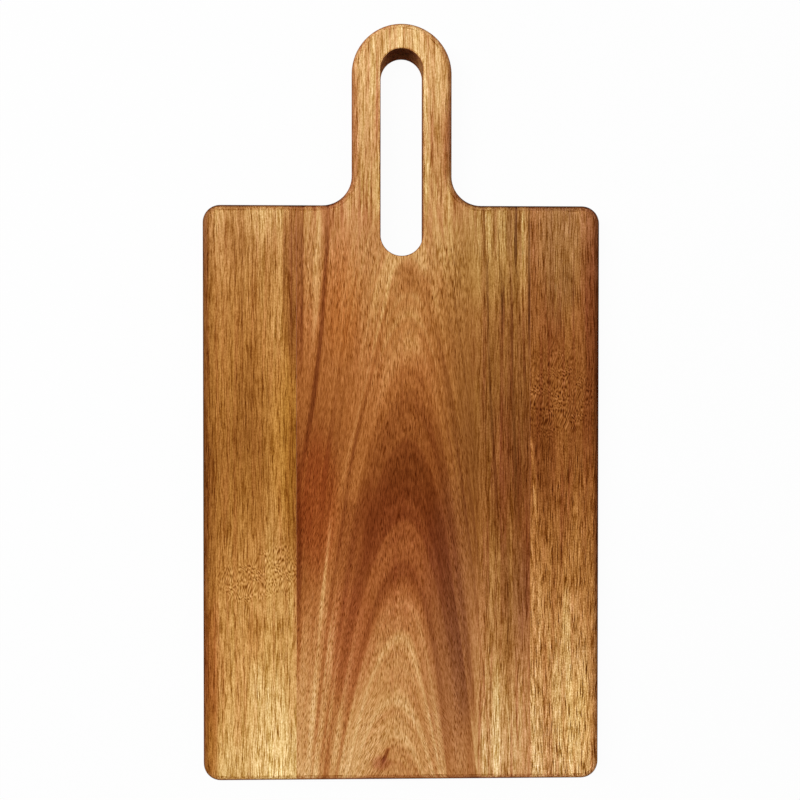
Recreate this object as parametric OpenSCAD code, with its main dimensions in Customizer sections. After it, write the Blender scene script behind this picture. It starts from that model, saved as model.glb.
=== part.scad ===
// Paddle serving board, glued up from three staves of hardwood and rounded over along its outer edges.
// It lies on its underside, with the handle toward +Y and the middle of its outline over the origin.
// All sizes are in millimetres.

/* [Board] */
// Width of the body, across the three staves
board_w = 250; // [220:1:300]
// Length of the body, from the foot to the shoulders
body_len = 363; // [300:1:440]
// Thickness of the wood
board_t = 20; // [15:0.5:26]
// Radius of the body's corners, seen from above
corner_r = 11; // [8:0.5:20]
// Radius of the roundover along the outer edges, above and below
edge_r = 4; // [2:0.25:6]

/* [Handle] */
// Width of the handle
handle_w = 63; // [54:0.5:76]
// Reach of the handle past the shoulders, to the end of its round crown
handle_len = 114; // [90:1:140]
// Radius of the fillet between each shoulder and the handle
shoulder_r = 18.5; // [10:0.5:26]

/* [Finger slot] */
// Width of the slot, which has round ends
slot_w = 26.6; // [22:0.2:30]
// Length of the slot, over its round ends
slot_len = 129.5; // [100:0.5:150]
// Wood left between the slot and the end of the handle
slot_wall = 16.5; // [12:0.5:24]
// Depth of the eased arris around the slot, above and below
slot_ease = 0.6; // [0.4:0.1:2]

/* [Staves] */
// Width of the left stave
left_stave_w = 59; // [30:0.5:68]
// Width of the right stave
right_stave_w = 44; // [30:0.5:62]
// Thickness of the glue between two staves
glue_t = 0.2; // [0.1:0.05:0.4]

/* [Hidden] */
$fn = 128;

// Colours of the wood and of the dried glue
left_wood = "burlywood";
centre_wood = "peru";
right_wood = "sandybrown";
dry_glue = "saddlebrown";

// Room by which a cut runs past the face that it cuts
cut_past = 1;

// Sizes on a fine binary grid, where sums are exact, so that blocks that meet share the very same plane
function on_grid(size) = round(size * 4096) / 4096;
half_w = on_grid(board_w / 2);
half_len = on_grid((body_len + handle_len) / 2);
bend_r = on_grid(corner_r);
round_r = on_grid(edge_r);
fillet_r = on_grid(shoulder_r);
glue_gap = on_grid(glue_t);

// The body: the rectangle inside its rounded rim
shoulder_y = on_grid(body_len) - half_len;
inner_x = half_w - bend_r;
low_y = bend_r - half_len;
high_y = shoulder_y - bend_r;

// The handle: half its width is also the radius of its crown
handle_r = on_grid(handle_w / 2);
crown_y = half_len - handle_r;
fillet_end_x = handle_r + fillet_r;
fillet_end_y = shoulder_y + fillet_r;
// Depth of wood behind a shoulder fillet, enough to reach the square corner inside the roundover
fillet_reach = sqrt(2) * (fillet_r + round_r) - fillet_r;

// The slot: centres of its two round ends
slot_r = on_grid(slot_w / 2);
slot_high_y = half_len - on_grid(slot_wall) - slot_r;
slot_low_y = slot_high_y - on_grid(slot_len) + 2 * slot_r;

// The two joints: each film of glue starts at its own x
left_joint_x = on_grid(left_stave_w) - half_w;
right_joint_x = half_w - on_grid(right_stave_w) - glue_gap;

// Section of wood with one rounded edge: x runs from the back to the edge, y runs up through the thickness
module edge_section(back_x, edge_x) {
    round_x = edge_x - sign(edge_x - back_x) * round_r;
    translate([min(back_x, round_x), 0]) square([abs(round_x - back_x), board_t]);
    translate([min(back_x, edge_x), round_r]) square([abs(edge_x - back_x), board_t - 2 * round_r]);
    for (z = [round_r, board_t - round_r])
        translate([round_x, z]) circle(round_r);
}

// Straight run of rounded edge along Y, facing +X
module edge_run(length, reach) {
    rotate([90, 0, 0]) linear_extrude(length, center = true) edge_section(0, reach);
}

// Rounded edge that turns outward about Z, from +X over the angle
module edge_turn(angle, reach) {
    rotate_extrude(angle = angle) edge_section(0, reach);
}

// Rounded edge that turns inward about Z, from +X through a quarter turn: the wood lies outside the radius
module edge_hollow(radius, reach) {
    rotate_extrude(angle = 90) edge_section(radius + reach, radius);
}

// Full thickness of wood over a rectangle between two opposite corners
module slab(low, high) {
    translate([low.x, low.y, 0]) cube([high.x - low.x, high.y - low.y, board_t]);
}

// Body of the paddle, up to the shoulders, with its four corners
module body() {
    slab([-inner_x, low_y], [inner_x, high_y]);
    translate([0, low_y, 0]) rotate(-90) edge_run(2 * inner_x, bend_r);
    for (side = [0, 1]) mirror([side, 0, 0]) {
        translate([inner_x, (low_y + high_y) / 2, 0]) edge_run(high_y - low_y, bend_r);
        translate([inner_x, high_y, 0]) edge_turn(90, bend_r);
        translate([inner_x, low_y, 0]) rotate(-90) edge_turn(90, bend_r);
        translate([(inner_x + fillet_end_x) / 2, high_y, 0]) rotate(90)
            edge_run(inner_x - fillet_end_x, bend_r);
    }
}

// Handle with its crown and the two fillets at its root
module handle() {
    root_x = handle_r - round_r;
    slab([-fillet_end_x, high_y], [fillet_end_x, shoulder_y - round_r]);
    slab([-root_x, high_y], [root_x, fillet_end_y]);
    for (side = [0, 1]) mirror([side, 0, 0]) {
        translate([fillet_end_x, fillet_end_y, 0]) rotate(180) edge_hollow(fillet_r, fillet_reach);
        translate([0, (fillet_end_y + crown_y) / 2, 0]) edge_run(crown_y - fillet_end_y, handle_r);
    }
    translate([0, crown_y, 0]) edge_turn(180, handle_r);
}

// Half section of the cut that makes the slot: straight walls, flared at both faces to ease the arris
module slot_section() {
    flare = slot_r + slot_ease + cut_past;
    polygon([
        [0, -cut_past], [flare, -cut_past], [slot_r, slot_ease],
        [slot_r, board_t - slot_ease], [flare, board_t + cut_past], [0, board_t + cut_past]
    ]);
}

// The whole cut for the slot
module slot_cut() {
    translate([0, slot_high_y, 0]) rotate_extrude(angle = 180) slot_section();
    translate([0, slot_low_y, 0]) rotate(180) rotate_extrude(angle = 180) slot_section();
    for (side = [0, 1]) mirror([side, 0, 0])
        translate([0, (slot_high_y + slot_low_y) / 2, 0]) rotate([90, 0, 0])
            linear_extrude(slot_high_y - slot_low_y, center = true) slot_section();
}

// The shaped board, from which each stave and each film of glue is one slice
module paddle() {
    difference() {
        union() {
            body();
            handle();
        }
        slot_cut();
    }
}

// Slice of the board between two places across its width
module slice(low_x, high_x) {
    intersection() {
        paddle();
        translate([low_x, -half_len - cut_past, -cut_past])
            cube([high_x - low_x, 2 * (half_len + cut_past), board_t + 2 * cut_past]);
    }
}

module left_stave() {
    color(left_wood) slice(-half_w - cut_past, left_joint_x);
}

module centre_stave() {
    color(centre_wood) slice(left_joint_x + glue_gap, right_joint_x);
}

module right_stave() {
    color(right_wood) slice(right_joint_x + glue_gap, half_w + cut_past);
}

module left_glue_line() {
    color(dry_glue) slice(left_joint_x, left_joint_x + glue_gap);
}

module right_glue_line() {
    color(dry_glue) slice(right_joint_x, right_joint_x + glue_gap);
}

left_stave();
centre_stave();
right_stave();
left_glue_line();
right_glue_line();
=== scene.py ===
"""Looks of a paddle serving board that is glued up from three staves of hardwood.

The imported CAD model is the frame. Each stave and each film of glue is sawn from one shaped paddle, so that
faces that meet in a joint are the same, and is dressed in a solid wood made from shader nodes. Sizes are in
millimetres, except where a name or a comment says otherwise, with +Y along the board toward the handle and +Z
up out of the serving face.
"""
import logging
import math
from collections.abc import Callable
from dataclasses import dataclass
from enum import Enum
from functools import partialmethod, reduce

import bmesh
import bpy
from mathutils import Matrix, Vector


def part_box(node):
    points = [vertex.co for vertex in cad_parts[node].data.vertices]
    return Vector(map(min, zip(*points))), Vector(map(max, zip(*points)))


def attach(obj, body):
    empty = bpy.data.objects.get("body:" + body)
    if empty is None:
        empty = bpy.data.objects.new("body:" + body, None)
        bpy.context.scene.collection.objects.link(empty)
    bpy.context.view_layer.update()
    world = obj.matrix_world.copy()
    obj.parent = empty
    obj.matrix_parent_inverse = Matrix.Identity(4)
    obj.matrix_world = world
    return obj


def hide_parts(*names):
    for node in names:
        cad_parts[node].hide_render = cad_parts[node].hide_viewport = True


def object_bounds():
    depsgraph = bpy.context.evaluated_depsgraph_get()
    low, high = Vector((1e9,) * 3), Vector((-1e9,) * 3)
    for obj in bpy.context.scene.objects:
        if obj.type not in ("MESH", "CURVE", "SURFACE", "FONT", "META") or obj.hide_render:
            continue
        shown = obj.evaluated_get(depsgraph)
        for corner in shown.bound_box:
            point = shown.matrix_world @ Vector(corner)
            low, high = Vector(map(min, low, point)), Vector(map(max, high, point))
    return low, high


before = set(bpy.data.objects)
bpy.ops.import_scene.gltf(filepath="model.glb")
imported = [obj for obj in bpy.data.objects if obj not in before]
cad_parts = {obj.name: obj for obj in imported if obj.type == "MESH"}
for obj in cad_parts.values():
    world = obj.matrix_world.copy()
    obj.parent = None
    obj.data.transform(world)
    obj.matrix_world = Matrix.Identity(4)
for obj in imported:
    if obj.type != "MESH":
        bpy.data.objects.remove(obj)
CAD_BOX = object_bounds()

LOG = logging.getLogger("paddle_board")
MM = 0.001
# Thickness of the board, and so the height of its serving face
FACE = CAD_BOX[1][2] / MM
# The three axes within the wood, as the node groups name them
PLACE = ("Across", "Along", "Up")
# Distance in metres within which a saw cut takes a point to lie on its plane
CUT_SLACK = 1e-7

Pair = tuple[float, float]
Triple = tuple[float, float, float]


def linear(red: int, green: int, blue: int) -> tuple[float, float, float, float]:
    """Turns a colour as seen on a screen into the linear one that shaders take.

    Args:
        red: Red from 0 to 255.
        green: Green from 0 to 255.
        blue: Blue from 0 to 255.

    Returns:
        The linear colour with full alpha.
    """
    parts = []
    for part in (red, green, blue):
        share = part / 255
        parts.append(share / 12.92 if share <= 0.04045 else ((share + 0.055) / 1.055) ** 2.4)
    return (*parts, 1.0)


class Kind(Enum):
    """Kinds of socket on a node group."""

    VALUE = "NodeSocketFloat"
    COLOUR = "NodeSocketColor"


class Sum(Enum):
    """Sums that a Math node does here."""

    ADD = "ADD"
    SUBTRACT = "SUBTRACT"
    MULTIPLY = "MULTIPLY"
    DIVIDE = "DIVIDE"
    POWER = "POWER"
    ABSOLUTE = "ABSOLUTE"
    LEAST = "MINIMUM"
    MOST = "MAXIMUM"


class Signal:
    """A value on its way through a node tree; plain arithmetic on it adds Math nodes."""

    def __init__(self, wiring: "Wiring", socket: bpy.types.NodeSocket) -> None:
        """Holds an output socket and the wiring of its tree."""
        self.wiring = wiring
        self.socket = socket

    def _sum(self, operation: Sum, *others: "Signal | float") -> "Signal":
        """Adds a Math node that takes this value first."""
        return self.wiring.math(operation, self, *others)

    __add__ = partialmethod(_sum, Sum.ADD)
    __sub__ = partialmethod(_sum, Sum.SUBTRACT)
    __mul__ = partialmethod(_sum, Sum.MULTIPLY)
    __truediv__ = partialmethod(_sum, Sum.DIVIDE)
    __abs__ = partialmethod(_sum, Sum.ABSOLUTE)
    power = partialmethod(_sum, Sum.POWER)
    least = partialmethod(_sum, Sum.LEAST)
    most = partialmethod(_sum, Sum.MOST)

    def __rsub__(self, other: float) -> "Signal":
        """Takes this away from a number."""
        return self.wiring.math(Sum.SUBTRACT, other, self)

    def blend(self, other: "Signal", share: "Signal") -> "Signal":
        """Goes from this to another signal as share goes from 0 to 1."""
        return self + (other - self) * share

    def smooth(self, low: float, high: float) -> "Signal":
        """Eases from 0 at low to 1 at high.

        Args:
            low: Value that gives 0.
            high: Value that gives 1; it may lie below low.

        Returns:
            The eased value, held at 0 and 1 outside the range.
        """
        node = self.wiring.node("ShaderNodeMapRange", interpolation_type="SMOOTHSTEP")
        self.wiring.feed(node.inputs["Value"], self)
        node.inputs["From Min"].default_value = low
        node.inputs["From Max"].default_value = high
        return Signal(self.wiring, node.outputs["Result"])

    def curve(self, points: tuple[Pair, ...]) -> "Signal":
        """Reads a smooth curve that is drawn through a few points.

        Args:
            points: Pairs of a place and the value there, in rising order of place.

        Returns:
            The curve's value, level beyond its ends.
        """
        first, last = points[0][0], points[-1][0]
        node = self.wiring.node("ShaderNodeFloatCurve")
        node.mapping.use_clip = False
        line = node.mapping.curves[0]
        placed = [((place - first) / (last - first), value) for place, value in points]
        line.points[0].location = placed[0]
        line.points[1].location = placed[-1]
        for place, value in placed[1:-1]:
            line.points.new(place, value)
        node.mapping.update()
        share = ((self - first) / (last - first)).most(0.0).least(1.0)
        self.wiring.feed(node.inputs["Value"], share)
        return Signal(self.wiring, node.outputs["Value"])


class Wiring:
    """Adds nodes to one tree and joins them."""

    def __init__(self, tree: bpy.types.NodeTree) -> None:
        """Holds the tree."""
        self.tree = tree

    def node(self, kind: str, **settings: object) -> bpy.types.Node:
        """Adds a node.

        Args:
            kind: Blender's name for the kind of node.
            **settings: Settings of the node itself.

        Returns:
            The new node.
        """
        node = self.tree.nodes.new(kind)
        for name, value in settings.items():
            setattr(node, name, value)
        return node

    def feed(self, socket: bpy.types.NodeSocket, value: Signal | float) -> None:
        """Joins a signal to an input, or sets the input to a constant.

        Args:
            socket: The input.
            value: The signal or the constant.
        """
        if isinstance(value, Signal):
            self.tree.links.new(value.socket, socket)
        else:
            socket.default_value = value

    def math(self, operation: Sum, *values: Signal | float) -> Signal:
        """Adds a Math node.

        Args:
            operation: What it does.
            *values: Its one or two inputs.

        Returns:
            Its result.
        """
        node = self.node("ShaderNodeMath", operation=operation.value)
        for socket, value in zip(node.inputs, values):
            self.feed(socket, value)
        return Signal(self, node.outputs[0])

    def separate(self, vector: bpy.types.NodeSocket) -> tuple[Signal, ...]:
        """Takes a vector apart.

        Args:
            vector: An output that gives a vector.

        Returns:
            Its three parts.
        """
        node = self.node("ShaderNodeSeparateXYZ")
        self.tree.links.new(vector, node.inputs[0])
        return tuple(Signal(self, socket) for socket in node.outputs)

    def noise(
        self, place: tuple[Signal, ...], size: tuple[Signal | float, ...], detail: float = 0.0
    ) -> Signal:
        """Adds cloudy noise.

        Args:
            place: Place along three axes.
            size: Size of the noise along each axis.
            detail: Number of finer layers.

        Returns:
            Noise from about -0.5 to 0.5.
        """
        vector = self.node("ShaderNodeCombineXYZ")
        for socket, part, length in zip(vector.inputs, place, size):
            self.feed(socket, part / length)
        node = self.node("ShaderNodeTexNoise", noise_dimensions="3D")
        self.tree.links.new(vector.outputs[0], node.inputs["Vector"])
        node.inputs["Scale"].default_value = 1.0
        node.inputs["Detail"].default_value = detail
        return Signal(self, node.outputs[0]) - 0.5

    def ramp(self, value: Signal, stops: tuple[tuple[float, tuple[float, ...]], ...]) -> Signal:
        """Adds a colour ramp.

        Args:
            value: Place on the ramp.
            stops: Pairs of a place and a linear colour, in rising order.

        Returns:
            The colour.
        """
        node = self.node("ShaderNodeValToRGB")
        elements = node.color_ramp.elements
        while len(elements) < len(stops):
            elements.new(1.0)
        for element, (place, colour) in zip(elements, stops):
            element.position = place
            element.color = colour
        self.feed(node.inputs["Fac"], value)
        return Signal(self, node.outputs["Color"])


class Group:
    """A shader node group with named inputs and outputs, built once and placed in each material."""

    def __init__(
        self, name: str, inputs: tuple[str, ...], outputs: tuple[str, ...], kind: Kind = Kind.VALUE
    ) -> None:
        """Makes the group's sockets.

        Args:
            name: Name of the group.
            inputs: Names of its inputs, which are all values.
            outputs: Names of its outputs.
            kind: Kind of the outputs.
        """
        self.tree = bpy.data.node_groups.new(name, "ShaderNodeTree")
        for label in inputs:
            self.tree.interface.new_socket(name=label, in_out="INPUT", socket_type=Kind.VALUE.value)
        for label in outputs:
            self.tree.interface.new_socket(name=label, in_out="OUTPUT", socket_type=kind.value)
        self.wiring = Wiring(self.tree)
        self.entry = self.wiring.node("NodeGroupInput")
        self.exit = self.wiring.node("NodeGroupOutput")

    def take(self, *labels: str) -> list[Signal]:
        """Gives the signals of some inputs."""
        return [Signal(self.wiring, self.entry.outputs[label]) for label in labels]

    def give(self, label: str, signal: Signal) -> None:
        """Joins a signal to an output."""
        self.wiring.feed(self.exit.inputs[label], signal)

    def place(self, wiring: Wiring, values: dict[str, Signal | float]) -> dict[str, Signal]:
        """Places the group in a tree.

        Args:
            wiring: Wiring of that tree.
            values: Value of each input by its name.

        Returns:
            The signal of each output by its name.
        """
        node = wiring.node("ShaderNodeGroup", node_tree=self.tree)
        for label, value in values.items():
            wiring.feed(node.inputs[label], value)
        return {socket.name: Signal(wiring, socket) for socket in node.outputs}


class GrainSpace(Group):
    """Place of a surface point in the wood, with masks of end grain, edges and a crease of painted shade."""

    # Shares of the normal between which each mask fades in
    END = (0.4, 1.0)
    EASED = (0.9995, 0.985)
    ROUNDED = (0.96, 0.55)
    CREASE = ((0.9998, 0.998), (0.985, 0.994))
    # Part of the edge's mask that is there from its first turn
    EASED_SHARE = 0.35
    # Size of the noise that breaks up the crease, and the values between which it lets the crease show
    BREAKUP_SIZE = (9.0, 9.0, 9.0)
    CREASE_SHOWS = (-0.1, 0.15)

    def __init__(self) -> None:
        """Builds the group."""
        super().__init__("grain_space", (), (*PLACE, "End", "Edge", "Crease"))
        coordinates = self.wiring.node("ShaderNodeTexCoord")
        place = tuple(part * (1 / MM) for part in self.wiring.separate(coordinates.outputs["Object"]))
        for label, part in zip(PLACE, place):
            self.give(label, part)
        _, endward, upward = self.wiring.separate(coordinates.outputs["Normal"])
        self.give("End", abs(endward).smooth(*self.END))
        flat = abs(upward)
        rounded = flat.smooth(*self.ROUNDED) * (1.0 - self.EASED_SHARE)
        self.give("Edge", flat.smooth(*self.EASED) * self.EASED_SHARE + rounded)
        inner, outer = self.CREASE
        crease_shows = self.wiring.noise(place, self.BREAKUP_SIZE, 1.0).smooth(*self.CREASE_SHOWS)
        # A thin line of painted shade where the rounded edge begins to turn, standing for a router step
        self.give("Crease", flat.smooth(*inner) * flat.smooth(*outer) * crease_shows)


class WoodFibre(Group):
    """Fibres and pores that run along the board, with a lean that is a shift across for each length along."""

    INPUTS = (*PLACE, "Lean", "Thread", "Dash", "Grit", "Shift")
    # Sizes of the noise across, along and through the board, and how far some of it shifts the fibres
    WANDER = (34.0, 120.0, 34.0)
    WANDER_REACH = 3.2
    WAVER = (5.0, 12.0, 5.0)
    WAVER_REACH = 1.5
    STAGGER = (1.1, 60.0, 1.1)
    STAGGER_REACH = 22.0
    COARSE = (3.4, 110.0, 3.4)
    STREAKS = (2.2, 75.0, 2.2)
    GRIT = (0.6, 1.1, 0.6)
    THREAD_WIDTH = 0.6
    DASH_WIDTH = 0.5
    # How fast the threads get shorter below the middle of the board
    SHORTENING = 0.0015
    # Noise over which a dark streak and a pore deepen, and how dark they get
    STREAKED = (-0.07, -0.14)
    STREAK_DEPTH = 0.3
    POROUS = (-0.04, -0.2)
    PORE_DEPTH = 0.27
    # Shares of the threads and of the dashes
    PORE_SHARES = (0.6, 0.5)
    FINE_SHARES = (0.4, 0.28)

    def __init__(self) -> None:
        """Builds the group."""
        super().__init__("wood_fibre", self.INPUTS, ("Coarse", "Fine", "Pores"))
        noise = self.wiring.noise
        across, along, up, lean, thread, dash, gritty, shift = self.take(*self.INPUTS)
        up = up + shift
        wander = noise((across, along, up), self.WANDER, 1.0)
        across = across - along * lean + wander * self.WANDER_REACH
        streaks = noise((across, along, up), self.STREAKS).smooth(*self.STREAKED)
        coarse = noise((across, along, up), self.COARSE, 1.0)
        self.give("Coarse", coarse - streaks * self.STREAK_DEPTH)
        across = across + noise((across, along, up), self.WAVER) * self.WAVER_REACH
        uneven = along + noise((across, along, up), self.STAGGER) * self.STAGGER_REACH
        low = along.least(0.0)
        drawn = uneven - low * low * self.SHORTENING
        threads = noise((across, drawn, up), (self.THREAD_WIDTH, thread, self.THREAD_WIDTH))
        dashes = noise((across, uneven, up), (self.DASH_WIDTH, dash, self.DASH_WIDTH))
        grit = noise((across, along, up), self.GRIT)
        long_pores = threads.smooth(*self.POROUS) * self.PORE_SHARES[0]
        short_pores = dashes.smooth(*self.POROUS) * self.PORE_SHARES[1]
        pores = (long_pores + short_pores).least(1.0)
        self.give("Pores", pores)
        lines = threads * self.FINE_SHARES[0] + dashes * self.FINE_SHARES[1]
        self.give("Fine", lines + grit * gritty - pores * self.PORE_DEPTH)


class CurlFleck(Group):
    """Short slanting dark flecks, where the fibres curl, and an uneven spread that breaks up their area."""

    # Sizes of the noise across, along and through the board, and its reach or strength
    SWAY = (9.0, 9.0, 9.0)
    SWAY_REACH = 5.0
    FLECK = (0.6, 2.2, 1.0)
    FLECK_STRENGTH = 1.2
    SPREAD = (5.0, 14.0, 5.0)
    SPREAD_STRENGTH = 2.4
    # Sway along the board for each sway across it
    SLANT = 2.0
    # Noise over which a fleck deepens, how dark it gets, and how far all flecks are lowered
    DARK = (0.0, -0.2)
    DARK_DEPTH = 0.2
    LOWERING = 0.045

    def __init__(self) -> None:
        """Builds the group."""
        super().__init__("curl_fleck", PLACE, ("Flecks", "Spread"))
        noise = self.wiring.noise
        across, along, up = self.take(*PLACE)
        sway = noise((across, along, up), self.SWAY) * self.SWAY_REACH
        flecks = noise((across + sway, along + sway * self.SLANT, up), self.FLECK)
        dark = flecks.smooth(*self.DARK) * self.DARK_DEPTH
        self.give("Flecks", flecks * self.FLECK_STRENGTH - dark - self.LOWERING)
        self.give("Spread", noise((across, along, up), self.SPREAD, 1.0) * self.SPREAD_STRENGTH + 1.0)


class SoftCloud(Group):
    """A soft oval area, for colour that comes and goes within a stave."""

    INPUTS = ("Across", "Along", "Middle across", "Middle along", "Reach across", "Reach along")

    def __init__(self) -> None:
        """Builds the group."""
        super().__init__("soft_cloud", self.INPUTS, ("Mask",))
        across, along, middle_across, middle_along, reach_across, reach_along = self.take(*self.INPUTS)
        wide = (across - middle_across) / reach_across
        long = (along - middle_along) / reach_along
        self.give("Mask", (wide * wide + long * long).smooth(1.0, 0.0))


class GrainVein(Group):
    """A narrow streak that bends across the board on its way down from its top."""

    INPUTS = ("Across", "Along", "Top", "Length", "Start", "Half width", "Slope", "Bend")
    # Shares of the length over which it begins and ends, and of the half width over which it fades
    BEGINS = (-0.02, 0.15)
    ENDS = (1.02, 0.65)
    FADES = (1.0, 0.15)

    def __init__(self) -> None:
        """Builds the group."""
        super().__init__("grain_vein", self.INPUTS, ("Mask",))
        across, along, top, length, start, half_width, slope, bend = self.take(*self.INPUTS)
        fallen = top - along
        course = start + fallen * slope + fallen * fallen * bend
        beside = abs(across - course) / half_width
        share = fallen / length
        ends = share.smooth(*self.BEGINS) * share.smooth(*self.ENDS)
        self.give("Mask", beside.smooth(*self.FADES) * ends)


class WoodPalette(Group):
    """Colour of the wood by its tone, which is the brightness of the colour.

    The hue is turned by degrees and richness scales the saturation. Shade is the share by which fine grain
    brightens the red; it changes green and blue more, so that dark lines are rich and pale ones are soft.
    """

    INPUTS = ("Tone", "Hue", "Richness", "Shade")
    STOPS = (
        (0.20, (47, 12, 1)), (0.32, (79, 30, 3)), (0.42, (106, 46, 11)), (0.48, (121, 57, 19)),
        (0.55, (139, 73, 28)), (0.61, (155, 87, 37)), (0.66, (167, 99, 47)), (0.70, (178, 113, 59)),
        (0.74, (188, 127, 70)), (0.78, (198, 141, 82)), (0.82, (208, 156, 97)), (0.87, (221, 172, 112)),
        (0.92, (234, 190, 128)), (0.98, (249, 210, 146)),
    )
    # Powers of the shade on red, green and blue light, where it darkens and where it brightens
    DARK_POWERS = (2.2, 3.3, 6.0)
    LIGHT_POWERS = (2.2, 2.95, 4.8)

    def __init__(self) -> None:
        """Builds the group."""
        super().__init__("wood_palette", self.INPUTS, ("Colour",), Kind.COLOUR)
        wiring = self.wiring
        tone, hue, richness, shade = self.take(*self.INPUTS)
        turn = wiring.node("ShaderNodeHueSaturation")
        stops = tuple((place, linear(*colour)) for place, colour in self.STOPS)
        wiring.feed(turn.inputs["Color"], wiring.ramp(tone, stops))
        wiring.feed(turn.inputs["Hue"], hue / 360.0 + 0.5)
        wiring.feed(turn.inputs["Saturation"], richness)
        parts = wiring.node("ShaderNodeSeparateColor")
        wiring.feed(parts.inputs[0], Signal(wiring, turn.outputs["Color"]))
        whole = wiring.node("ShaderNodeCombineColor")
        shade = (shade + 1.0).most(0.0)
        dark, light = shade.least(1.0), shade.most(1.0)
        channels = zip(parts.outputs, whole.inputs, self.DARK_POWERS, self.LIGHT_POWERS)
        for output, target, darken, brighten in channels:
            wiring.feed(target, Signal(wiring, output) * dark.power(darken) * light.power(brighten))
        self.give("Colour", Signal(wiring, whole.outputs[0]))


class BoardToneAndSheen(Group):
    """Slow change of tone and richness along the whole board, pale at both ends and deep past the middle."""

    # Partly the wood's own colour and partly painted reflection: sheen at both ends, a dark reflection past
    # the middle
    RICHNESS = ((-238, 0.99), (-124, 0.99), (-40, 0.995), (65, 0.985), (118, 0.96), (238, 0.975))
    TONE = (
        (-238, 0.81), (-187, 0.75), (-155, 0.7), (-124, 0.66), (-92, 0.61), (-61, 0.57), (-29, 0.56),
        (2, 0.6), (65, 0.67), (118, 0.73), (160, 0.8), (238, 0.82),
    )

    def __init__(self) -> None:
        """Builds the group."""
        super().__init__("board_trend", ("Along",), ("Tone", "Richness"))
        (along,) = self.take("Along")
        self.give("Tone", along.curve(self.TONE))
        self.give("Richness", along.curve(self.RICHNESS))


@dataclass(frozen=True)
class Effects:
    """The node groups that the finishes share."""

    space: GrainSpace
    fibre: WoodFibre
    curl: CurlFleck
    cloud: SoftCloud
    vein: GrainVein
    palette: WoodPalette
    tone_and_sheen: BoardToneAndSheen

    @classmethod
    def build(cls) -> "Effects":
        """Builds every group once."""
        groups = (GrainSpace, WoodFibre, CurlFleck, SoftCloud, GrainVein, WoodPalette, BoardToneAndSheen)
        return cls(*(group() for group in groups))


@dataclass(frozen=True)
class Dressing:
    """A material under way, with the shared node groups and the place within the wood."""

    material: bpy.types.Material
    wiring: Wiring
    effects: Effects
    space: dict[str, Signal]

    @classmethod
    def begin(cls, name: str, effects: Effects) -> "Dressing":
        """Makes a new material and finds the place within the wood.

        Args:
            name: Name of the material.
            effects: The shared node groups.

        Returns:
            The dressing, ready for its first effect.
        """
        material = bpy.data.materials.new(name)
        material.use_nodes = True
        wiring = Wiring(material.node_tree)
        return cls(material, wiring, effects, effects.space.place(wiring, {}))

    def place(self) -> dict[str, Signal]:
        """Gives the place within the wood by its three axes."""
        return {label: self.space[label] for label in PLACE}

    def tone_and_sheen(self) -> dict[str, Signal]:
        """Gives the slow change of tone and richness along the board, partly painted reflection."""
        return self.effects.tone_and_sheen.place(self.wiring, {"Along": self.space["Along"]})

    def feed(self, label: str, value: Signal | float) -> None:
        """Joins a signal to an input of the shader, or sets the input to a constant."""
        self.wiring.feed(self.material.node_tree.nodes["Principled BSDF"].inputs[label], value)

    def paint(self, *values: Signal | float) -> None:
        """Colours the shader by a tone, a hue, a richness and a shade."""
        named = dict(zip(WoodPalette.INPUTS, values))
        self.feed("Base Color", self.effects.palette.place(self.wiring, named)["Colour"])


@dataclass(frozen=True)
class Cloud:
    """A soft oval area: middle and reach, and changes of tone, of hue in degrees and of richness.

    For a curl, tone is the strength of its flecks. For a patch on the edges, it darkens the edges alone as
    painted shade or brightens them as painted light.
    """

    across: float
    along: float
    reach_across: float
    reach_along: float
    tone: float
    hue: float = 0.0
    richness: float = 0.0

    def mask(self, work: Dressing, across: Signal, along: Signal) -> Signal:
        """Places the area by its own sizes, and gives its mask."""
        form = (across, along, self.across, self.along, self.reach_across, self.reach_along)
        return work.effects.cloud.place(work.wiring, dict(zip(SoftCloud.INPUTS, form)))["Mask"]


@dataclass(frozen=True)
class Vein:
    """A narrow streak: top and length along, start across, half its width, change of tone, slope and bend."""

    top: float
    length: float
    start: float
    half_width: float
    tone: float
    slope: float = 0.0
    bend: float = 0.0

    def mask(self, work: Dressing, across: Signal, along: Signal) -> Signal:
        """Places the streak by its own sizes, and gives its mask."""
        form = (across, along, self.top, self.length, self.start, self.half_width, self.slope, self.bend)
        return work.effects.vein.place(work.wiring, dict(zip(GrainVein.INPUTS, form)))["Mask"]


class Figure(Enum):
    """How the growth rings meet the face of a stave."""

    STRAIGHT = "straight"
    CATHEDRAL = "cathedral"


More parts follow.
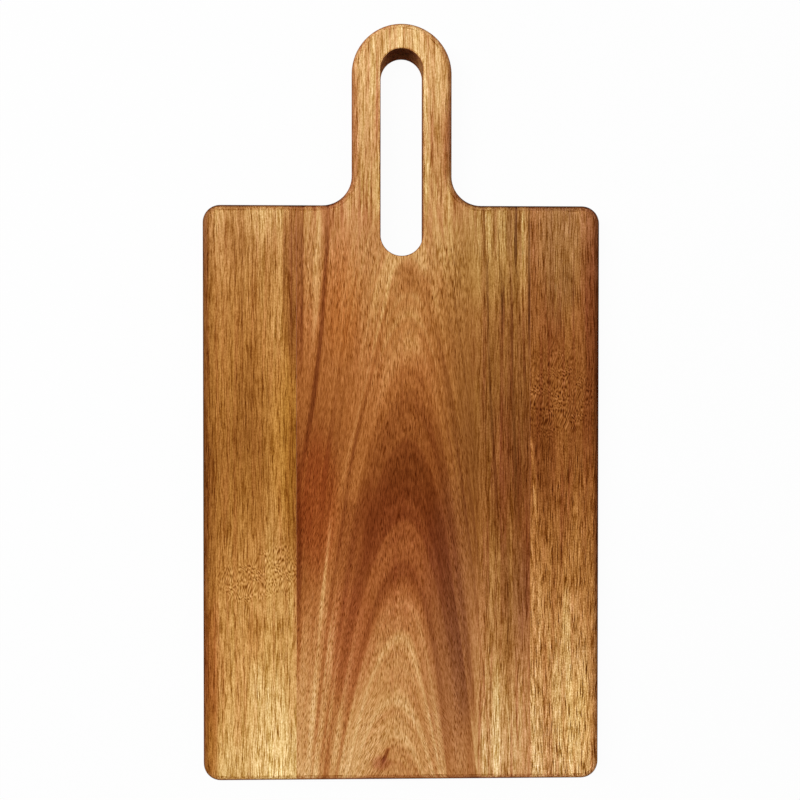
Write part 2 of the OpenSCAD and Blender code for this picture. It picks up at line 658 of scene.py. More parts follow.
class Cathedral:
    """Nested arches of a flat-sawn stave, each named by the place of its crown along the board."""

    # First guess at the arch through a point: its axis, and how fast its two flanks fall
    GUESS_AXIS = 1.7
    GUESS_FALL = (0.071, 0.12)
    # The right flank is darker, between these places beside the axis
    DARK_FLANK = (6.0, 26.0)
    DARK_FLANK_TONE = -0.05
    # Rings between the arches: size at the crown and change of tone, with their size across and along
    RINGS = ((8.0, 0.1), (3.0, 0.05))
    RING_REACH = (60.0, 200.0)
    # Places along and across between which the figure, its lower half and its lowest crowns fade in
    SAWN_ALONG = (128.0, 96.0)
    SAWN_ACROSS = (52.0, 36.0)
    LOW = (70.0, -60.0)
    CROWNS = (-165.0, -200.0)
    # Lean of the fibres on each flank, and the places across between which the flank fades in
    FLANKS = ((0.17, (-10.0, -34.0)), (-0.13, (10.0, 34.0)))
    # Lean beside the lowest crowns, and the places across between which it fades in and out again
    CROWN_SIDES = ((0.45, (-4.0, -12.0), (-34.0, -24.0)), (-0.38, (8.0, 16.0), (34.0, 26.0)))
    # Place of the axis across the board, and how fast each flank falls, by arch
    AXIS = ((-230, -4.5), (-180, -4), (-144, 0.4), (-77, 2.3), (58, 4.9), (140, 4))
    LEFT = ((-230, 0.055), (-180, 0.061), (-144, 0.069), (-77, 0.071), (58, 0.083), (140, 0.07))
    RIGHT = ((-230, 0.085), (-180, 0.095), (-144, 0.154), (-105, 0.13), (58, 0.115), (140, 0.11))
    # Change of tone by arch, from the foot of the board up
    ARCHES = (
        (-230, -0.08), (-220, -0.07), (-213, -0.03), (-205, 0.03), (-197, -0.01), (-186, 0.05), (-176, 0),
        (-167, 0), (-159, 0.03), (-149, 0.065), (-138, 0.01), (-124, 0.02), (-117, 0), (-111, -0.06),
        (-104, -0.11), (-97, -0.06), (-86, -0.03), (-78, -0.04), (-71, -0.08), (-57, -0.12), (-36, -0.12),
        (-25, -0.08), (-13, -0.02), (-4, -0.05), (12, -0.01), (28, 0.04), (36, 0.08), (48, 0.035),
        (56, 0.07), (66, 0), (75, 0), (82, 0.04), (94, 0.05), (106, 0.04), (116, 0.02), (140, 0),
    )

    def tone(self, wiring: Wiring, across: Signal, along: Signal) -> Signal:
        """Finds the arch through a point and reads its tone.

        Args:
            wiring: Wiring of the material.
            across: Place across the board.
            along: Place along the board.

        Returns:
            The change of tone.
        """
        guess, _ = self._crown(across - self.GUESS_AXIS, along, *self.GUESS_FALL)
        beside = across - guess.curve(self.AXIS)
        crown, right = self._crown(beside, along, guess.curve(self.LEFT), guess.curve(self.RIGHT))
        tone = crown.curve(self.ARCHES) + right.smooth(*self.DARK_FLANK) * self.DARK_FLANK_TONE
        for size, depth in self.RINGS:
            tone = tone + wiring.noise((crown, across, along), (size, *self.RING_REACH)) * depth
        return tone

    @staticmethod
    def _crown(
        beside: Signal, along: Signal, left_fall: Signal | float, right_fall: Signal | float
    ) -> tuple[Signal, Signal]:
        """Follows a flank up to its crown.

        Args:
            beside: Place across the board from the axis.
            along: Place along the board.
            left_fall: Fall of the left flank for each square millimetre beside the axis.
            right_fall: Fall of the right flank for each square millimetre beside the axis.

        Returns:
            Place of the crown along the board, and the place beside the axis on the right.
        """
        left = beside.least(0.0)
        right = beside.most(0.0)
        return along + left * left * left_fall + right * right * right_fall, right

    def regions(self, across: Signal, along: Signal) -> list[tuple[float, Signal]]:
        """Divides the figure into regions within which the fibres lean alike.

        Args:
            across: Place across the board.
            along: Place along the board.

        Returns:
            Pairs of a lean and a mask; each region lies over those before it.
        """
        sawn = along.smooth(*self.SAWN_ALONG) * across.smooth(*self.SAWN_ACROSS)
        low = along.smooth(*self.LOW) * sawn
        crowns = along.smooth(*self.CROWNS) * sawn
        regions = [(0.0, sawn)]
        for lean, begins in self.FLANKS:
            regions.append((lean, across.smooth(*begins) * low))
        for lean, begins, ends in self.CROWN_SIDES:
            regions.append((lean, across.smooth(*begins) * across.smooth(*ends) * crowns))
        return regions


@dataclass(frozen=True)
class StaveFinish:
    """Oiled hardwood of one stave.

    Bands are changes of tone by place across the board, and shift keeps the fibres apart from those of other
    staves. Grain is the strength of the fine grain at the shoulders and at the foot, and streaks that of the
    coarse fibres.
    """

    name: str
    figure: Figure
    shift: float
    hue: float
    grain: Pair
    bands: tuple[Pair, ...]
    clouds: tuple[Cloud, ...]
    veins: tuple[Vein, ...]
    curls: tuple[Cloud, ...] = ()
    # Patches that change the edges alone: painted shade with a router burn, and painted light
    burns_and_painted_light: tuple[Cloud, ...] = ()
    streaks: float = 1.0
    richness: float = 0.0

    # Run of the bands across and of the rings along the board for each millimetre of depth
    BAND_SLANT = 0.35
    RING_SLANT = 8.0
    # Shift of the bands and turn of the hue with the coarse fibres
    BAND_WANDER = 1.2
    HUE_WANDER = 3.5
    # Lengths of the threads and of the dashes, and share of grit
    STRAIGHT_FIBRE = {"Thread": 20.0, "Dash": 5.5, "Grit": 0.34}
    FLAT_SAWN_FIBRE = {"Thread": 4.2, "Dash": 3.0, "Grit": 0.16}
    # How much thinner the fibres of the figure are, and how far those of its regions are kept apart
    THINNING = 1.55
    SHIFT_STEP = 20.0
    # Strength of its coarse and of its fine fibres
    FIGURE_COARSE = 0.3
    FIGURE_FINE = 1.36
    # Beside the figure the coarse fibres are stronger, and on its right the fine ones too
    SIDE_COARSE = 1.4
    SIDE_FINE = 0.2
    SIDE = (40.0, 56.0)
    # Largest share of flecks in a curl
    CURL_MOST = 0.8
    # Lift of the fine grain, and the places along the board between which its strength changes
    GRAIN_LIFT = 0.09
    GRAIN_SPAN = (110.0, -190.0)
    # Change of tone with the coarse fibres, darkening of end grain and edges, painted shade in the
    # crease, and dulling of edges
    COARSE_DEPTH = 0.18
    END_DEPTH = 0.25
    EDGE_DEPTH = 0.18
    CREASE_SHADE_DEPTH = 0.25
    EDGE_DULLING = 0.03
    # Roughness of the face, and what pores and edges add to it
    ROUGHNESS = 0.48
    PORE_ROUGHNESS = 0.2
    EDGE_ROUGHNESS = 0.4
    GLOSS = 0.02
    BUMP_STRENGTH = 0.35
    BUMP_DEPTH = 0.15

    def build(self, effects: Effects) -> bpy.types.Material:
        """Makes the material.

        Args:
            effects: The shared node groups.

        Returns:
            The finished material.
        """
        work = Dressing.begin(self.name, effects)
        space = work.space
        fibre = self._fibre(work)
        fine, pores = fibre["Fine"], fibre["Pores"]
        if self.curls:
            area, flecks = self._curl(work)
            fine = fine.blend(flecks, area)
            pores = pores * (1.0 - area)
        tone, hue, richness = self._figure(work, fibre["Coarse"])
        tone = tone * (fibre["Coarse"] * (self.COARSE_DEPTH * self.streaks) + 1.0)
        tone = tone - space["End"] * self.END_DEPTH - space["Edge"] * self.EDGE_DEPTH
        # Painted shade and painted light on the edges alone, with a router burn in the slot
        for painted_edge_light in self.burns_and_painted_light:
            tone = tone + painted_edge_light.mask(work, space["Across"], space["Along"]) * space["Edge"] * painted_edge_light.tone
        top, foot = self.grain
        shade = (fine + self.GRAIN_LIFT) * (space["Along"].smooth(*self.GRAIN_SPAN) * (foot - top) + top)
        # Painted shade along the crease where the rounded edge begins
        shade = shade - space["Crease"] * self.CREASE_SHADE_DEPTH
        work.paint(tone, hue, richness - space["Edge"] * self.EDGE_DULLING, shade)
        rough = pores * self.PORE_ROUGHNESS + space["Edge"] * self.EDGE_ROUGHNESS
        work.feed("Roughness", rough + self.ROUGHNESS)
        work.feed("Specular IOR Level", self.GLOSS)
        bump = work.wiring.node("ShaderNodeBump")
        bump.inputs["Strength"].default_value = self.BUMP_STRENGTH
        bump.inputs["Distance"].default_value = self.BUMP_DEPTH * MM
        work.wiring.feed(bump.inputs["Height"], fine)
        work.feed("Normal", Signal(work.wiring, bump.outputs["Normal"]))
        return work.material

    def _fibre(self, work: Dressing) -> dict[str, Signal]:
        """Lays fibres and pores, which fan out along the flanks of a cathedral figure.

        Args:
            work: The material under way.

        Returns:
            Signals of the coarse and fine fibres and of the pores.
        """
        place = work.place()
        group = work.effects.fibre
        straight = {**place, **self.STRAIGHT_FIBRE, "Lean": 0.0, "Shift": self.shift}
        fibre = group.place(work.wiring, straight)
        if self.figure is Figure.STRAIGHT:
            return fibre
        across, along = place["Across"], place["Along"]
        fibre["Coarse"] = fibre["Coarse"] * self.SIDE_COARSE
        fibre["Fine"] = fibre["Fine"] * (across.smooth(*self.SIDE) * self.SIDE_FINE + 1.0)
        thin = {**place, **self.FLAT_SAWN_FIBRE, "Across": across * self.THINNING}
        for number, (lean, mask) in enumerate(Cathedral().regions(across, along), 1):
            shift = self.shift + self.SHIFT_STEP * number
            other = group.place(work.wiring, {**thin, "Lean": lean * self.THINNING, "Shift": shift})
            other["Coarse"] = other["Coarse"] * self.FIGURE_COARSE
            other["Fine"] = other["Fine"] * self.FIGURE_FINE
            fibre = {key: fibre[key].blend(other[key], mask) for key in fibre}
        return fibre

    def _curl(self, work: Dressing) -> tuple[Signal, Signal]:
        """Lays flecks where the fibres curl.

        Args:
            work: The material under way.

        Returns:
            Signals of the curled area and of the flecks in it.
        """
        place = work.place()
        curled = work.effects.curl.place(work.wiring, place)
        masks = [curl.mask(work, place["Across"], place["Along"]) * curl.tone for curl in self.curls]
        area = reduce(Signal.most, masks) * curled["Spread"]
        return area.most(0.0).least(self.CURL_MOST), curled["Flecks"]

    def _figure(self, work: Dressing, coarse: Signal) -> tuple[Signal, Signal, Signal]:
        """Adds up the figure of the stave.

        Args:
            work: The material under way.
            coarse: Coarse fibres of the stave.

        Returns:
            Its tone, hue and richness.
        """
        depth = work.space["Up"] - FACE
        across = work.space["Across"] + depth * self.BAND_SLANT + coarse * self.BAND_WANDER
        along = work.space["Along"] + depth * self.RING_SLANT
        # Tone and richness along the board, partly painted reflection
        tone_and_sheen = work.tone_and_sheen()
        tone = tone_and_sheen["Tone"] + across.curve(self.bands)
        hue = coarse * self.HUE_WANDER + self.hue
        richness = tone_and_sheen["Richness"] + self.richness
        if self.figure is Figure.CATHEDRAL:
            tone = tone + Cathedral().tone(work.wiring, across, along)
        for cloud in self.clouds:
            mask = cloud.mask(work, across, along)
            if cloud.tone:
                tone = tone + mask * cloud.tone
            if cloud.hue:
                hue = hue + mask * cloud.hue
            if cloud.richness:
                richness = richness + mask * cloud.richness
        for vein in self.veins:
            tone = tone + vein.mask(work, across, along) * vein.tone
        return tone, hue, richness


@dataclass(frozen=True)
class GlueFinish:
    """Dried wood glue in a joint, brown and a little glossy."""

    name: str = "dried_glue"

    # Blotches: size across, along and through the joint, finer layers, and change of tone
    BLOTCH = (1.0, 4.0, 2.0)
    BLOTCH_LAYERS = 3.0
    BLOTCH_TONE = 0.25
    # How much darker the glue is than the wood, and its darkening at ends and edges
    DEPTH = 0.12
    END_DEPTH = 0.3
    EDGE_DEPTH = 0.2
    ROUGHNESS = 0.45
    BLOTCH_ROUGHNESS = 0.3
    GLOSS = 0.3

    def build(self, effects: Effects) -> bpy.types.Material:
        """Makes the material.

        Args:
            effects: The shared node groups.

        Returns:
            The finished material.
        """
        work = Dressing.begin(self.name, effects)
        blotch = work.wiring.noise(tuple(work.place().values()), self.BLOTCH, self.BLOTCH_LAYERS)
        # The tone along the board carries its painted reflection into the glue too
        tone = work.tone_and_sheen()["Tone"] + blotch * self.BLOTCH_TONE - self.DEPTH
        tone = tone - work.space["End"] * self.END_DEPTH - work.space["Edge"] * self.EDGE_DEPTH
        work.paint(tone, 0.0, 1.0, 0.0)
        work.feed("Roughness", blotch * self.BLOTCH_ROUGHNESS + self.ROUGHNESS)
        work.feed("Specular IOR Level", self.GLOSS)
        return work.material


def cut(
    shape: bmesh.types.BMesh, place: Triple, facing: Triple, clear_outer: bool = False
) -> list[bmesh.types.BMEdge]:
    """Cuts a mesh along a plane.

    Args:
        shape: The mesh.
        place: A point on the plane, in metres.
        facing: Direction that the plane faces.
        clear_outer: Whether what lies on the side that the plane faces is taken away.

    Returns:
        The edges along the cut.
    """
    everything = shape.verts[:] + shape.edges[:] + shape.faces[:]
    result = bmesh.ops.bisect_plane(
        shape, geom=everything, dist=CUT_SLACK, plane_co=place, plane_no=facing, clear_outer=clear_outer
    )
    return [part for part in result["geom_cut"] if isinstance(part, bmesh.types.BMEdge)]


@dataclass(frozen=True)
class Paddle:
    """The shaped board before it is sawn into its pieces."""

    half_width: float = CAD_BOX[1][0] / MM
    half_length: float = CAD_BOX[1][1] / MM
    thickness: float = FACE
    shoulder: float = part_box("left_stave")[1][1] / MM
    corner_radius: float = 11.0
    corner_steps: int = 10
    edge_radius: float = 4.0
    edge_steps: int = 8
    handle_radius: float = 31.5
    crown_steps: int = 28
    fillet_radius: float = 18.5
    fillet_steps: int = 16
    slot_radius: float = 13.3
    slot_steps: int = 20
    # Places along the board of the middles of the slot's round ends
    slot_low: float = 105.8
    slot_high: float = 208.7
    slot_ease: float = 0.6
    ease_steps: int = 5
    # Widths of the flat strips that hold the face level beside the rim and the slot
    rim_margin: float = 0.6
    slot_margin: float = 0.4
    grid: float = 15.0

    @staticmethod
    def _arc(middle: Pair, radius: float, start: float, end: float, steps: int) -> list[Pair]:
        """Gives points along an arc, with both ends.

        Args:
            middle: Its middle.
            radius: Its radius.
            start: Angle of its first point in degrees.
            end: Angle of its last point in degrees.
            steps: Number of steps along it.

        Returns:
            The points.
        """
        points = []
        for step in range(steps + 1):
            angle = math.radians(start + (end - start) * step / steps)
            points.append((middle[0] + radius * math.cos(angle), middle[1] + radius * math.sin(angle)))
        return points

    @staticmethod
    def _closed(right: list[Pair]) -> list[Pair]:
        """Adds the mirrored left half to the right half of an outline, whose ends lie on the middle line."""
        (_, first), *between, (_, last) = right
        return [(0.0, first), *between, (0.0, last), *((-x, y) for x, y in reversed(between))]

    def outline(self, inset: float) -> list[Pair]:
        """Gives the outline seen from above, moved into the wood.

        Args:
            inset: Distance by which it is moved inward.

        Returns:
            The right half from the middle of the foot to the top of the crown, and the left half back.
        """
        corner, fillet = self.corner_radius, self.fillet_radius
        corner_x = self.half_width - corner
        fillet_middle = (self.handle_radius + fillet, self.shoulder + fillet)
        crown_middle = (0.0, self.half_length - self.handle_radius)
        right = [(0.0, inset - self.half_length)]
        right += self._arc((corner_x, corner - self.half_length), corner - inset, -90, 0, self.corner_steps)
        right += self._arc((corner_x, self.shoulder - corner), corner - inset, 0, 90, self.corner_steps)
        right += self._arc(fillet_middle, fillet + inset, -90, -180, self.fillet_steps)
        right += self._arc(crown_middle, self.handle_radius - inset, 0, 90, self.crown_steps)
        return self._closed(right)

    def slot_outline(self, outset: float) -> list[Pair]:
        """Gives the slot's outline seen from above, moved into the wood.

        Args:
            outset: Distance by which it is moved outward from the slot.

        Returns:
            The right half from the top of the slot to its bottom, and the left half back.
        """
        radius = self.slot_radius + outset
        right = self._arc((0.0, self.slot_high), radius, 90, 0, self.slot_steps)
        right += self._arc((0.0, self.slot_low), radius, 0, -90, self.slot_steps)
        return self._closed(right)

    def _levels(self, radius: float, steps: int, margin: float) -> list[Pair]:
        """Gives the rounded edge's section from the top face to the underside.

        Args:
            radius: Radius of the edge above and below.
            steps: Number of steps in each quarter round.
            margin: Width of the flat strip that holds the face level beside the edge.

        Returns:
            Pairs of an inset and a height.
        """
        upper = [(radius + margin, self.thickness)]
        upper += self._arc((radius, self.thickness - radius), radius, 90, 180, steps)
        return upper + [(inset, self.thickness - height) for inset, height in reversed(upper)]

    def build(self) -> bmesh.types.BMesh:
        """Makes the whole shaped board as one closed mesh, in metres."""
        shape = bmesh.new()
        rim_levels = self._levels(self.edge_radius, self.edge_steps, self.rim_margin)
        slot_levels = self._levels(self.slot_ease, self.ease_steps, self.slot_margin)
        rim = self._wall(shape, self.outline, rim_levels)
        slot = self._wall(shape, self.slot_outline, slot_levels)
        for level in (0, -1):
            self._face(shape, rim[level], slot[level])
        bmesh.ops.recalc_face_normals(shape, faces=shape.faces[:])
        self._cross_cut(shape)
        return shape

    @staticmethod
    def _wall(
        shape: bmesh.types.BMesh, outline: Callable[[float], list[Pair]], levels: list[Pair]
    ) -> list[list[bmesh.types.BMVert]]:
        """Lofts a closed wall through one outline at several insets and heights.

        Args:
            shape: Mesh that the wall is added to.
            outline: Function that gives the outline at an inset.
            levels: Pairs of an inset and a height.

        Returns:
            The vertices of each level.
        """
        rings = []
        for inset, height in levels:
            rings.append([shape.verts.new((x * MM, y * MM, height * MM)) for x, y in outline(inset)])
        for upper, lower in zip(rings, rings[1:]):
            for place in range(len(upper)):
                after = (place + 1) % len(upper)
                shape.faces.new((upper[place], upper[after], lower[after], lower[place]))
        return rings

    @staticmethod
    def _face(
        shape: bmesh.types.BMesh, rim: list[bmesh.types.BMVert], slot: list[bmesh.types.BMVert]
    ) -> None:
        """Closes a flat face between the rim and the slot with a right and a left half.

        Args:
            shape: Mesh that the face is added to.
            rim: Vertices of the outer outline.
            slot: Vertices of the slot's outline.
        """
        top = len(rim) // 2
        low = len(slot) // 2
        shape.faces.new(rim[: top + 1] + slot[: low + 1])
        shape.faces.new(rim[top:] + [rim[0]] + slot[low:] + [slot[0]])

    def _cross_cut(self, shape: bmesh.types.BMesh) -> None:
        """Cuts the faces along an even grid, so that they are made of squares.

        Args:
            shape: Mesh of the board.
        """
        for reach, facing in ((self.half_width, (1.0, 0.0, 0.0)), (self.half_length, (0.0, 1.0, 0.0))):
            count = int(reach / self.grid)
            for step in range(-count, count):
                place = (step + 0.5) * self.grid * MM
                cut(shape, (place, place, 0.0), facing)


@dataclass(frozen=True)
class Slice:
    """A piece of the board between two saw cuts along it, which stands for one CAD node."""

    node: str
    slot: str
    finish: StaveFinish | GlueFinish

    # How near the board's own side a cut is left out
    SIDE_SLACK = 0.01
    # Turn in degrees beyond which an edge of the mesh is sharp
    SHARP_TURN = 40

    def build(self, paddle: Paddle, effects: Effects) -> bpy.types.Object:
        """Saws the piece out of the paddle and dresses it.

        Args:
            paddle: The shaped board.
            effects: The shared node groups.

        Returns:
            The piece, which rides on the board's body.
        """
        low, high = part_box(self.node)
        shape = paddle.build()
        for place, facing in ((low[0], -1.0), (high[0], 1.0)):
            if abs(place) < (paddle.half_width - self.SIDE_SLACK) * MM:
                edges = cut(shape, (place, 0.0, 0.0), (facing, 0.0, 0.0), clear_outer=True)
                bmesh.ops.edgeloop_fill(shape, edges=edges)
        mesh = bpy.data.meshes.new(self.node + "_wood")
        shape.to_mesh(mesh)
        shape.free()
        mesh.shade_smooth()
        mesh.set_sharp_from_angle(angle=math.radians(self.SHARP_TURN))
        piece = bpy.data.objects.new(self.node + "_dressed", mesh)
        bpy.context.scene.collection.objects.link(piece)
        mesh.materials.append(self.finish.build(effects))
        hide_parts(self.node)
        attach(piece, "root")
        LOG.info("%s: %d faces in %s", piece.name, len(mesh.polygons), self.finish.name)
        return piece


LEFT_WOOD = StaveFinish(
    name="left_stave_wood",
    figure=Figure.STRAIGHT,
    shift=11,
    hue=5.5,
    grain=(0.9, 0.94),
    streaks=0.4,
    bands=(
        (-125, -0.12), (-119, -0.08), (-115, 0.02), (-104, 0.01), (-97, 0), (-91, 0.02), (-84, 0.04),
        (-76, 0.05), (-71, 0.01), (-66, 0),
    ),
    clouds=(
        Cloud(-67.5, 76, 8, 75, -0.13, -2), Cloud(-105, 108, 11, 35, -0.06),
        Cloud(-95, -190, 45, 120, 0, -1, 0.015), Cloud(-118, -165, 8, 50, 0, -3),
        Cloud(-95, -5, 16, 45, -0.02), Cloud(-96, -105, 18, 90, 0.055), Cloud(-122, -20, 8, 130, 0.05),
        Cloud(-79, 92, 11, 50, -0.06), Cloud(-69, -150, 6, 40, 0.05), Cloud(-78, -70, 11, 90, 0.05),
        Cloud(-75, -228, 30, 75, 0.045), Cloud(-122, -205, 9, 75, -0.06), Cloud(-95, 120, 45, 24, 0.02),
        Cloud(-104, 62, 34, 90, -0.035), Cloud(-79, 65, 10, 40, 0.03),
        Cloud(-73, -25, 12, 75, 0, 1, 0.015), Cloud(-92, -146, 7, 22, -0.05),
        Cloud(-91.5, -177, 6, 20, 0.05), Cloud(-92, -67, 8, 20, -0.04), Cloud(-115, -195, 8, 60, -0.05),
        Cloud(-69, -114, 4, 25, 0.05),
    ),
    veins=(
        Vein(80, 50, -100, 1.2, -0.06), Vein(124, 95, -73.6, 1.3, -0.1), Vein(124, 120, -69, 1, -0.09),
    ),
    curls=(
        Cloud(-76, -105, 24, 22, 1), Cloud(-97, -112, 26, 17, 1),
    ),
)

CENTRE_WOOD = StaveFinish(
    name="centre_stave_wood",
    figure=Figure.CATHEDRAL,
    shift=57,
    hue=1.3,
    grain=(0.78, 0.76),
    bands=(
        (-66, 0), (-40, 0), (0, 0), (38, 0), (48, 0.01), (53, 0), (56, -0.03), (62, -0.02), (68, -0.04),
        (73, -0.05), (81, -0.01),
    ),
    clouds=(
        Cloud(-65, 82, 5, 80, -0.12), Cloud(26, 108, 11, 40, 0.07), Cloud(-34, -85, 9, 36, -0.06),
        Cloud(-50, -188, 6, 62, -0.06), Cloud(-42, -207, 6, 30, 0.045), Cloud(53, -58, 7, 62, 0.06),
        Cloud(73, -200, 11, 65, 0.06), Cloud(-58, 100, 14, 50, 0, 2), Cloud(4, 80, 9, 16, -0.06),
        Cloud(-53, -64, 18, 58, -0.03, -3, 0.015), Cloud(-5, -95, 45, 60, 0, -1.7),
        Cloud(-65, -100, 3, 95, -0.13), Cloud(-61, -95, 9, 45, -0.05), Cloud(-58, -180, 12, 50, 0.01),
        Cloud(-57, -216, 8, 22, -0.04), Cloud(58, -175, 45, 110, 0, 1, -0.025),
        Cloud(62, -150, 12, 110, 0, 2.5), Cloud(-33, -150, 20, 50, 0, -2.5),
        Cloud(60, 30, 46, 190, 0, 4, -0.02), Cloud(60, 105, 46, 55, 0, 3), Cloud(0, 190, 50, 90, 0, 2),
        Cloud(0, 136, 40, 26, 0, 3), Cloud(-23, 172, 12, 48, -0.06), Cloud(25, 158, 10, 34, -0.06),
        Cloud(70, -60, 14, 70, 0.04), Cloud(61, 106, 6, 30, 0.05), Cloud(62, -214, 18, 44, 0.05),
        Cloud(-13, -227, 8, 6, -0.06, -2, -0.02), Cloud(30, -140, 22, 110, 0, 0, -0.025),
        Cloud(76, -130, 9, 55, 0, 1, -0.02), Cloud(68, 106, 14, 30, 0.02), Cloud(61, -28, 6, 22, 0.05),
        Cloud(63, -45, 8, 60, 0, -2.5), Cloud(44, -216, 10, 30, 0.06), Cloud(-41, -120, 8, 45, -0.05),
        Cloud(-23, -67, 9, 25, -0.05), Cloud(5, 80, 48, 65, 0, 2), Cloud(-38, 70, 15, 55, 0, -1, 0.025),
        Cloud(61, -224, 5, 16, 0.05), Cloud(53, -205, 6, 34, -0.05), Cloud(15, 74, 7, 12, -0.05),
        Cloud(12, 20, 14, 16, -0.03), Cloud(61, -178, 6, 24, 0.04), Cloud(-42, 120, 6, 14, -0.05),
    ),
    veins=(
        Vein(130, 190, -46.6, 2.4, -0.18, 0, -0.00055), Vein(124, 120, -62.5, 1.4, -0.09),
        Vein(128, 106, -52.5, 3.2, 0.07, 0, -0.0003), Vein(96, 170, -3, 1.7, 0.08, -0.235),
        Vein(80, 150, -4.3, 1.1, -0.05, -0.235), Vein(-55, 200, -43.1, 2.3, 0.07, -0.1, 0.00004),
        Vein(-65, 95, -44.1, 2.2, 0.05, -0.1), Vein(-80, 145, -37.2, 1.6, 0.025, -0.13, 0.00005),
        Vein(-95, 140, -41.4, 1.3, -0.06, -0.12, 0.00004), Vein(-217, 12, -8, 1.9, -0.22, -0.4),
        Vein(-55, 90, -30, 7, -0.04, -0.15), Vein(-40, 230, 18.5, 13, -0.03, 0.19, -0.0004),
        Vein(-42, 190, 37, 9, -0.05, 0.07), Vein(60, 190, 18, 1.5, -0.05, 0.27, -0.0005),
        Vein(105, 210, 53.3, 1.4, -0.11, 0.01, 0.00018), Vein(95, 55, 62, 1.4, -0.08, 0.05),
        Vein(80, 190, 68.3, 1.6, -0.09, 0.025), Vein(126, 110, 80.1, 1.2, -0.2),
        Vein(-76, 190, 58.5, 8, 0.08), Vein(-70, 130, 67.5, 1.4, -0.07), Vein(126, 78, 76.4, 2.7, 0.13),
        Vein(122, 34, 67, 2, -0.09), Vein(124, 40, 54.5, 2.6, 0.07), Vein(124, 44, 71.4, 1.1, -0.2),
        Vein(72, 30, 62.8, 1, -0.15),
    ),
    # Painted shade, with a router burn, on the slot's walls, and painted light on the crown's rounded edge
    burns_and_painted_light=(
        Cloud(0, 158, 18, 90, -0.24), Cloud(0, 240, 46, 30, 0.16),
    ),
)

RIGHT_WOOD = StaveFinish(
    name="right_stave_wood",
    figure=Figure.STRAIGHT,
    shift=133,
    hue=3.4,
    grain=(1.08, 1.55),
    richness=-0.005,
    bands=(
        (81, -0.02), (84, 0), (88, -0.02), (92, -0.04), (100, -0.02), (108, -0.01), (113, -0.01),
        (117, -0.03), (120, -0.05), (125, -0.09),
    ),
    clouds=(
        Cloud(100, 80, 50, 150, -0.09), Cloud(100, 98, 18, 60, 0, 3, -0.02),
        Cloud(120, 60, 8, 110, 0, -1, -0.005), Cloud(83, 80, 4, 55, -0.04), Cloud(97, -10, 9, 60, 0.05),
        Cloud(103, -150, 45, 100, 0, 1.5), Cloud(96, -160, 15, 42, 0.03), Cloud(120, -40, 6, 45, 0.03),
        Cloud(89.5, -32, 10, 50, -0.06), Cloud(122, 55, 10, 120, -0.07), Cloud(111, -180, 11, 65, 0.045),
        Cloud(88, -124, 7, 40, 0.04), Cloud(105, -130, 5, 25, 0.06), Cloud(105, 74, 6, 18, -0.05),
        Cloud(111, -205, 14, 45, 0, 0, 0.03),
    ),
    veins=(
        Vein(-18, 66, 81, 1.3, 0.13, 0.075), Vein(-70, 90, 82.5, 1.4, 0.05),
    ),
    curls=(
        Cloud(99, 4, 30, 42, 0.75),
    ),
)


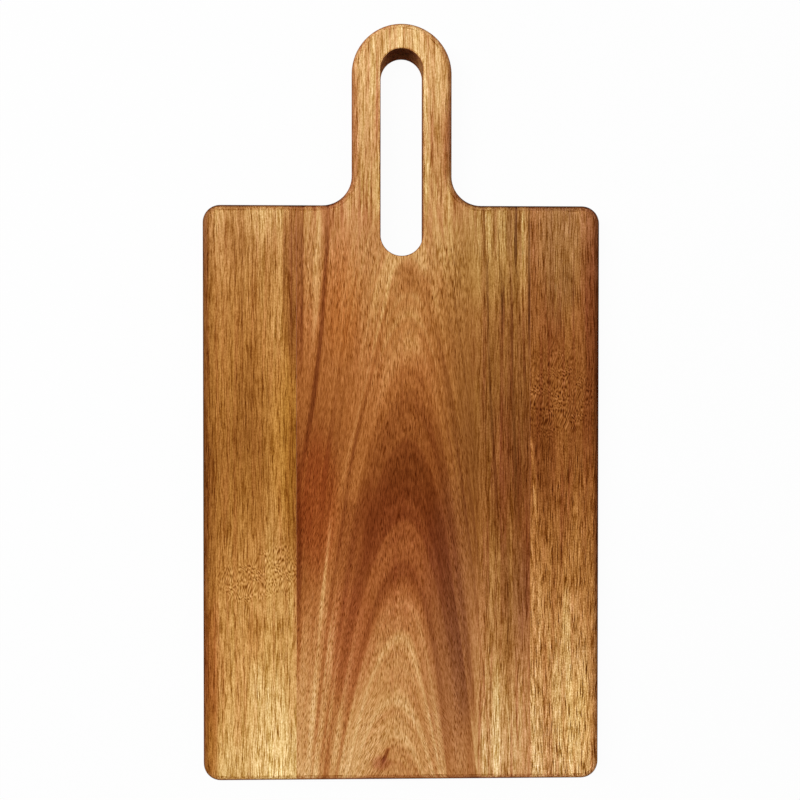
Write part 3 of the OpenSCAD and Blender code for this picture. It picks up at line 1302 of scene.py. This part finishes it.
@dataclass(frozen=True)
class Studio:
    """Floor, light and camera, in metres and degrees."""

    floor_reach: float = 4.0
    floor_drop: float = 0.0002
    floor_grey: float = 0.7
    # Share of plain white in the floor as it is seen; the rest is lit, and keeps a soft shadow
    floor_white: float = 0.96
    ambient: float = 0.15
    lamp_size: Pair = (0.6, 1.4)
    key_place: Triple = (-0.8, 0.35, 1.45)
    key_power: float = 27.0
    fill_place: Triple = (0.85, 0.35, 1.45)
    fill_share: float = 0.25
    camera_place: Triple = (-0.0113, 0.0081, 0.579)
    camera_turn: Triple = (-0.63, -1.05, 0.02)
    clip_start: float = 0.01
    focal_pixels: float = 890.2
    frame_pixels: float = 800.0
    sensor_mm: float = 36.0

    def build(self) -> None:
        """Sets up the whole studio."""
        bpy.context.scene.view_settings.view_transform = "Standard"
        self._world()
        self._floor()
        self._lamp("key_light", self.key_place, self.key_power)
        self._lamp("fill_light", self.fill_place, self.key_power * self.fill_share)
        self._camera()

    @staticmethod
    def _seen(wiring: Wiring) -> Signal:
        """Gives 1 for rays from the camera, off gloss and through glass.

        Args:
            wiring: Wiring of the tree that needs it.

        Returns:
            The mask of those rays.
        """
        path = wiring.node("ShaderNodeLightPath")
        names = ("Is Camera Ray", "Is Glossy Ray", "Is Transmission Ray")
        return reduce(Signal.most, (Signal(wiring, path.outputs[name]) for name in names))

    def _world(self) -> None:
        """Makes a plain pale world that is seen as white."""
        world = bpy.data.worlds.new("studio_world")
        world.use_nodes = True
        bpy.context.scene.world = world
        wiring = Wiring(world.node_tree)
        background = world.node_tree.nodes["Background"]
        background.inputs["Color"].default_value = (1.0, 1.0, 1.0, 1.0)
        strength = self._seen(wiring) * (1.0 - self.ambient) + self.ambient
        wiring.feed(background.inputs["Strength"], strength)

    def _floor(self) -> None:
        """Lays a white floor that keeps a soft shadow."""
        mesh = bpy.data.meshes.new("floor")
        reach, drop = self.floor_reach, -self.floor_drop
        corners = [(-reach, -reach, drop), (reach, -reach, drop), (reach, reach, drop), (-reach, reach, drop)]
        mesh.from_pydata(corners, [], [(0, 1, 2, 3)])
        floor = bpy.data.objects.new("floor", mesh)
        bpy.context.scene.collection.objects.link(floor)
        material = bpy.data.materials.new("floor_white")
        material.use_nodes = True
        nodes, links = material.node_tree.nodes, material.node_tree.links
        wiring = Wiring(material.node_tree)
        nodes.remove(nodes["Principled BSDF"])
        lit = wiring.node("ShaderNodeBsdfDiffuse")
        lit.inputs["Color"].default_value = (self.floor_grey, self.floor_grey, self.floor_grey, 1.0)
        glow = wiring.node("ShaderNodeEmission")
        glow.inputs["Strength"].default_value = 1.0
        mix = wiring.node("ShaderNodeMixShader")
        wiring.feed(mix.inputs["Fac"], self._seen(wiring) * self.floor_white)
        links.new(lit.outputs[0], mix.inputs[1])
        links.new(glow.outputs[0], mix.inputs[2])
        links.new(mix.outputs[0], nodes["Material Output"].inputs["Surface"])
        mesh.materials.append(material)

    def _lamp(self, name: str, place: Triple, power: float) -> None:
        """Hangs a long soft light beside the camera, which faces the board.

        Args:
            name: Name of the light.
            place: Its place.
            power: Its power in watts.
        """
        lamp = bpy.data.lights.new(name, "AREA")
        lamp.shape = "RECTANGLE"
        lamp.size, lamp.size_y = self.lamp_size
        lamp.energy = power
        light = bpy.data.objects.new(name, lamp)
        light.location = place
        light.rotation_euler = (-light.location).to_track_quat("-Z", "Y").to_euler()
        bpy.context.scene.collection.objects.link(light)

    def _camera(self) -> None:
        """Hangs the camera over the board."""
        lens = bpy.data.cameras.new("camera")
        lens.sensor_width = self.sensor_mm
        lens.lens = self.sensor_mm * self.focal_pixels / self.frame_pixels
        lens.clip_start = self.clip_start
        camera = bpy.data.objects.new("camera", lens)
        camera.location = self.camera_place
        camera.rotation_euler = [math.radians(angle) for angle in self.camera_turn]
        bpy.context.scene.collection.objects.link(camera)
        bpy.context.scene.camera = camera


def main() -> None:
    """Builds the board piece by piece, then the studio."""
    logging.basicConfig(level=logging.INFO, format="%(name)s: %(message)s")
    effects = Effects.build()
    paddle = Paddle()
    glue = GlueFinish()
    slices = (
        Slice("left_stave", "left_wood", LEFT_WOOD),
        Slice("centre_stave", "centre_wood", CENTRE_WOOD),
        Slice("right_stave", "right_wood", RIGHT_WOOD),
        Slice("left_glue_line", "glue", glue),
        Slice("right_glue_line", "glue", glue),
    )
    for piece in slices:
        piece.build(paddle, effects)
    Studio().build()


if __name__ == "__main__":
    main()
